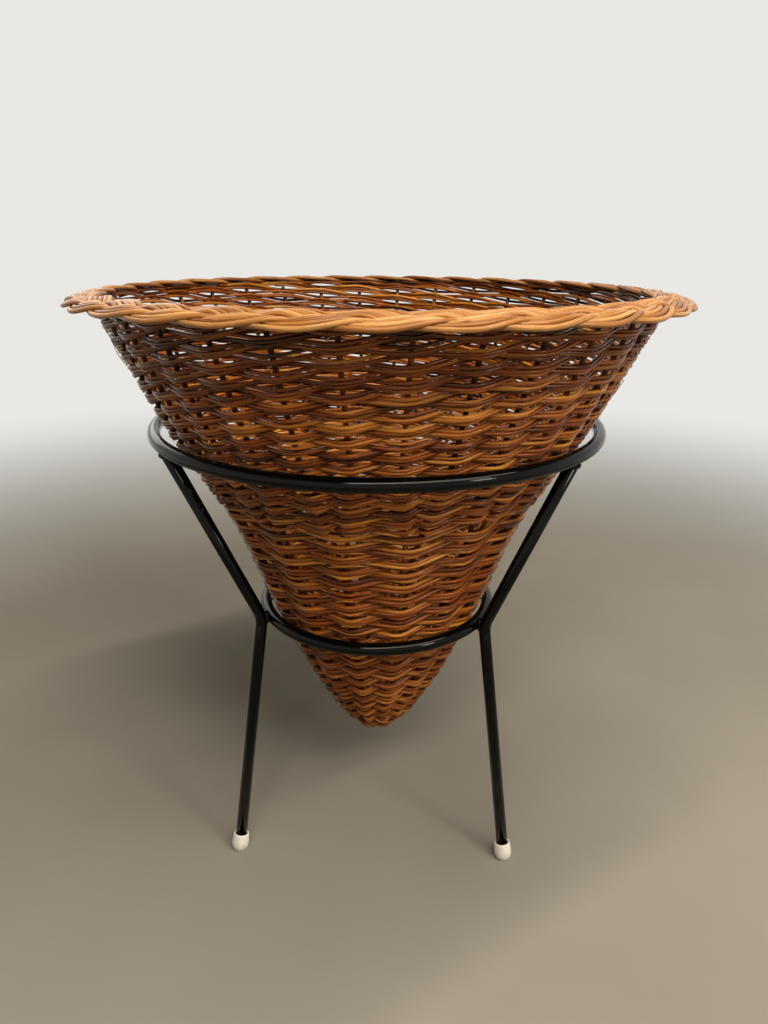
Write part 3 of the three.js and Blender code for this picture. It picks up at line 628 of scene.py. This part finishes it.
# Bands of the weave, at the point, over the pairs and over the single stakes. Each row gives where it
# starts and ends, its stakes and strands, the rods in a strand, the height of a course low down and high
# up, a rod's radius, how far it stands off the stakes, its dip low down and high up, and how much of a
# straight line it is pulled into between two stakes.
BANDS = [
    (-34.0, 0.0, 8, 4, 2, (5.8, 5.8), 1.9, 4.2, (2.6, 3.0), 0.5),
    (0.0, SPREAD_CUT, 16, 8, 3, (9.0, 8.4), 2.1, 4.9, (4.2, 2.0), 0.75),
    (SPREAD_CUT, WALL_TOP + 15.0, 32, 20, 3, (6.2, 7.6), 1.8, 5.5, (1.2, 1.2), 0.7),
]

# Chestnut brown where the varnish has aged, paler where a rod had less of it.
wall_willow = varnished_willow("varnished_willow_rods", "#521f05", "#9c4d12", "#dc9138", 0.22)


def band_angle(stakes, u, s):
    """Angle at stake count u, which may lie between two stakes, in a band of 8, 16 or 32 stakes."""
    def one(k):
        turns, n = divmod(k, stakes)
        if stakes == 32:
            return stake_angle(n, s) + 2 * math.pi * turns
        if stakes == 16:
            shift = -pair_angle(s) if s < PAIR_FROM - 10 else 0.0
            return GROUP_ANGLE * (n + 0.5) + shift + 2 * math.pi * turns
        return GROUP_ANGLE * 2 * (n + 0.5) + 2 * math.pi * turns
    k = math.floor(u)
    a, b = one(k), one(k + 1)
    return a + (b - a) * (u - k)


def rod_ends(first, last, stakes, strand):
    """Stake counts where the rods of one lane end, behind a stake, a round apart or two at the point."""
    ends = [first]
    while ends[-1] < last:
        at = round(ends[-1] + dice.uniform(*ROUNDS) * max(stakes, 16))
        if (at + strand) % 2 == 0:
            at += 1
        ends.append(min(at, last))
    if len(ends) > 2 and ends[-1] - ends[-2] < 3:
        ends.pop(-2)
    return ends


def weave_band(start, end, stakes, strands, in_strand, pitches, rod, stand_off, dips, taut):
    """Rods of one band, each with its middle height so that it can be sorted into its piece."""
    rods = []
    per_stake = 8 if stakes < 32 else 6
    climb = strands / stakes
    courses = 2 * (end - start) / sum(pitches)
    widening = (pitches[1] - pitches[0]) / courses
    for lane in range(in_strand * strands):
        strand, layer = divmod(lane, in_strand)
        offset = (lane + 0.5) / in_strand
        beside = layer - (in_strand - 1) / 2

        def height(u):
            """Length up the wall at stake count u."""
            course = offset + u * climb
            return start + course * (pitches[0] + widening * course / 2)

        first = (EDGE - offset) / climb
        last = (courses - EDGE - offset) / climb
        ends = rod_ends(first, last, stakes, strand)
        waves = [(dice.uniform(*WAVER_RATE), dice.uniform(0, FULL_TURN), dice.uniform(*WAVER_SIZE))
                 for _ in range(3)]
        for rod_start, rod_end in zip(ends[:-1], ends[1:]):
            fat, limp = dice.uniform(*THICKNESS), dice.uniform(*LIMPNESS)
            begin = rod_start - (OVERLAP if rod_start > first else 0.0)
            finish = rod_end + (OVERLAP if rod_end < last else 0.0)
            count = max(int((finish - begin) * per_stake), 3)
            points, radii, painted_shade = [], [], []
            for i in range(count + 1):
                u = begin + (finish - begin) * i / count
                s = height(u)
                outside_at = round(u)
                if (outside_at + strand) % 2:
                    outside_at += 1 if u > outside_at else -1
                # In and out: 1 outside a stake, -1 inside the next, nearly straight between them.
                x = math.hypot(u - outside_at, TURN) - TURN
                wave = (SOFTNESS * math.cos(math.pi * (u - outside_at))
                        + (1 - SOFTNESS) * (1 - 2 * min(x, 1.0)))
                between = math.sin(math.pi * (u - math.floor(u))) ** 2
                pull = taut * wall(s)[0] * (1 - math.cos(math.pi / stakes)) * between
                nest = NEST * (1 - wave * wave) * (1 if layer % 2 else -1)
                tuck = 0.0
                if rod_start > first:
                    tuck = max(tuck, 1 - (u - begin) / TUCK_LENGTH)
                if rod_end < last:
                    tuck = max(tuck, 1 - (finish - u) / TUCK_LENGTH)
                jitter = sum(amount * math.sin(rate * u + phase) for rate, phase, amount in waves)
                out = stand_off * wave + nest - pull - TUCK_DEPTH * tuck + 0.5 * jitter
                # Up and down: at a stake the rods of a strand press on each other, one above the other.
                share = min(max((s - start) / (end - start), 0.0), 1.0)
                pitch, dip = (pair[0] + (pair[1] - pair[0]) * share for pair in (pitches, dips))
                stacked = (PRESSED * rod - pitch / in_strand) * beside * wave * wave
                low = max(start + rod * 0.6, s - limp * dip * max(1 - x, 0.0) + stacked + jitter)
                points.append(on_wall(band_angle(stakes, u, s), min(low, end, WEAVE_TOP), out))
                radii.append(rod * fat * (1.0 - ROD_TAPER * i / count) * MM)
                # Painted shade: darker where a rod passes inside the stakes, and outside them just under the
                # border, where the border shades it.
                near_border = min(max((s - SHADE_FROM) / (SHADE_TO - SHADE_FROM), 0.0), 1.0)
                painted_shade.append(INNER_SHADE * max(0.0, 0.5 - 0.5 * wave) ** 1.5
                              + BORDER_SHADE * near_border * (0.5 + 0.5 * wave))
            brown = min(max(dice.gauss(*WALL_BROWN), 0.02), 0.98)
            rods.append((height((begin + finish) / 2), (points, radii, (brown, dice.random(), painted_shade))))
    return rods


all_rods = []
for band in BANDS:
    all_rods += weave_band(*band)

# The point is closed with a small coil of rod, and a few fine splinters lie on the wall near its top.
COIL_HEIGHT, COIL_ROD, COIL_FROM = 93.4, 1.8, 0.6
COIL_RADIANS, COIL_STEP, COIL_PITCH = 15.5, 0.35, 0.55  # how far it winds, and how much wider a radian
SPLINTER_RADIUS, SPLINTER_OUT, SPLINTER_BOW = 0.35, 6.4, 0.8
SPLINTERS = [  # angle, length up the wall, lean in radians, length
    (1.02, 528, -0.16, 62), (1.08, 525, -0.13, 75), (0.93, 500, -0.10, 48), (1.12, 470, -0.16, 50),
    (-1.1, 520, 0.10, 30), (-1.02, 512, 0.14, 34), (-1.16, 505, 0.05, 24),
]
coil = []
for turn in np.arange(0, COIL_RADIANS, COIL_STEP):
    r = COIL_FROM + COIL_PITCH * turn
    coil.append((math.sin(turn) * r * MM, -math.cos(turn) * r * MM, COIL_HEIGHT * MM))
# The coil's colour carries an even painted shade of 0.2.
all_rods.append((-20.0, (coil, [COIL_ROD * MM] * len(coil), (0.3, 0.5, [0.2] * len(coil)))))
for at, s, lean, length in SPLINTERS:
    splinter = [on_wall(at + lean * q, s - q * length, SPLINTER_OUT + SPLINTER_BOW * math.sin(5 * q + at))
                for q in np.arange(0, 1.01, 0.1)]
    tones = (0.98, dice.random(), [0.0] * len(splinter))
    all_rods.append((s, (splinter, [SPLINTER_RADIUS * MM] * len(splinter), tones)))

WEAVE_PIECES = [  # name, below which its rods have their middles, sides of a rod, CAD nodes
    ("weave_point", 0.0, 8, ("base_bowl",)),
    ("weave_foot", 111.0, 8, ("weaver_1a", "weaver_1b")),
    ("weave_waist", 221.5, 8, ("weaver_2a", "weaver_2b")),
    ("weave_middle", SPREAD_CUT, 8, ("weaver_3a", "weaver_3b")),
    ("weave_shoulder", SHOULDER_CUT, 7, ("weaver_4a", "weaver_4b")),
    ("weave_top", math.inf, 7, ("weaver_4a", "weaver_4b")),
]
lowest = -math.inf
for name, highest, sides, nodes in WEAVE_PIECES:
    rods = [rod for middle, rod in all_rods if lowest <= middle < highest]
    settle(lay_rods(name, rods, sides), name, "basket", "brown_willow", wall_willow, *nodes)
    lowest = highest

# Border. A flat plait of three strands, each of five rods side by side, which is the stakes' own tops
# worked round the rim. It lies nearly level on the wall and flares past it.
STATIONS = 64    # counted round the border; a strand's way over and under repeats every six
STEPS = 6        # points of a rod from one station to the next
STATION_LENGTH = BORDER_RADIUS * 2 * math.pi / STATIONS
PLAIT_SWING = 9.4  # how far a strand swings in and out
PLAIT_RISE = (3.6, -0.9, 2.6, 4.8, -0.9, 2.0)  # how high it lies at the six stations
SEAT_PHASE = math.radians(141)
RODS_IN_STRAND, PLAIT_ROD = 5, 2.1
LEAN = 0.05      # how much sooner the rods on one side of a strand pass under
OUTER_FALL, OUTER_WIDTH, INNER_RISE = 7.5, 18.0, 0.2  # the outer lip falls, the inner edge rises
PAINTED_SHADE_BELOW, PAINTED_SHADE_DEPTH = 1.6, 2.2  # where a strand passes under another its colour is darkened, a painted shade
# Painted shade on the back half of the border and under crossing strands; UNEVEN is how much a rod's
# thickness varies.
BACK_SHADE, UNDER_SHADE, UNEVEN = 0.2, 0.5, 0.06
SWAY_RATE, SWAY_SIZE = (0.2, 0.5), (0.2, 0.6)
BORDER_BROWN = (0.5, 0.24)  # mean and spread

# Golden tan: the border was varnished the same but has kept its colour, and shines on its crowns.
border_willow = varnished_willow("varnished_willow_border", "#82481a", "#b3783e", "#d59f60", 0.3)


def smooth_cycle(values, at):
    """Reads a short repeating list between its entries, with smooth bends at them."""
    n = len(values)
    i = math.floor(at)
    t = at - i
    a, b, c, d = (values[(i + k) % n] for k in (-1, 0, 1, 2))
    return b + 0.5 * t * (c - a + t * (2 * a - 5 * b + 4 * c - d + t * (3 * (b - c) + d - a)))


for index, letter in enumerate("abc"):
    total = STATIONS * STEPS
    lines = [[] for _ in range(RODS_IN_STRAND)]
    painted_shades = [[] for _ in range(RODS_IN_STRAND)]
    sways = [(dice.uniform(0, FULL_TURN), dice.uniform(*SWAY_RATE), dice.uniform(*SWAY_SIZE))
             for _ in range(RODS_IN_STRAND)]
    # A strand begins and ends at the back, half a round from the front, where its colour carries the most
    # painted shade.
    for i in range(total + 1):
        k = STATIONS / 2 + i / STEPS
        station = (k + 2 * index) % 6
        phase = SEAT_PHASE + 2 * math.pi * station / 6
        angle = GROUP_ANGLE / 4 + 2 * math.pi * k / STATIONS
        middle = PLAIT_SWING * math.sin(phase)
        # The strand's own direction in the border's plane turns the row of rods with it.
        bend = math.atan2(PLAIT_SWING * math.cos(phase) * math.pi / 3, STATION_LENGTH)
        back_shade = BACK_SHADE + BACK_SHADE * math.cos(2 * math.pi * i / total)
        for n, (start, rate, amount) in enumerate(sways):
            offset = (n - (RODS_IN_STRAND - 1) / 2) * PRESSED * PLAIT_ROD
            across = middle + offset * math.cos(bend) + amount * math.sin(k * rate + start)
            ahead = -offset * math.sin(bend) / BORDER_RADIUS
            rise = smooth_cycle(PLAIT_RISE, station + LEAN * offset * math.cos(phase))
            lip = -OUTER_FALL * (across / OUTER_WIDTH) ** 2 if across > 0 else -INNER_RISE * across
            lines[n].append(on_border(angle + ahead, across, rise + lip))
            under = min(max((PAINTED_SHADE_BELOW - rise) / PAINTED_SHADE_DEPTH, 0.0), 1.0)
            painted_shades[n].append(back_shade + UNDER_SHADE * under)
    rods = []
    for line, painted_shade, (start, *_) in zip(lines, painted_shades, sways):
        radii = [PLAIT_ROD * (0.98 + UNEVEN * math.sin(0.07 * i + start)) * MM for i in range(total + 1)]
        brown = min(max(dice.gauss(*BORDER_BROWN), 0.02), 0.98)
        rods.append((line, radii, (brown, dice.random(), painted_shade)))
    settle(lay_rods(f"plait_rods_{letter}", rods, 10), f"plait_rods_{letter}", "basket", "gold_willow",
           border_willow, f"plait_{letter}")
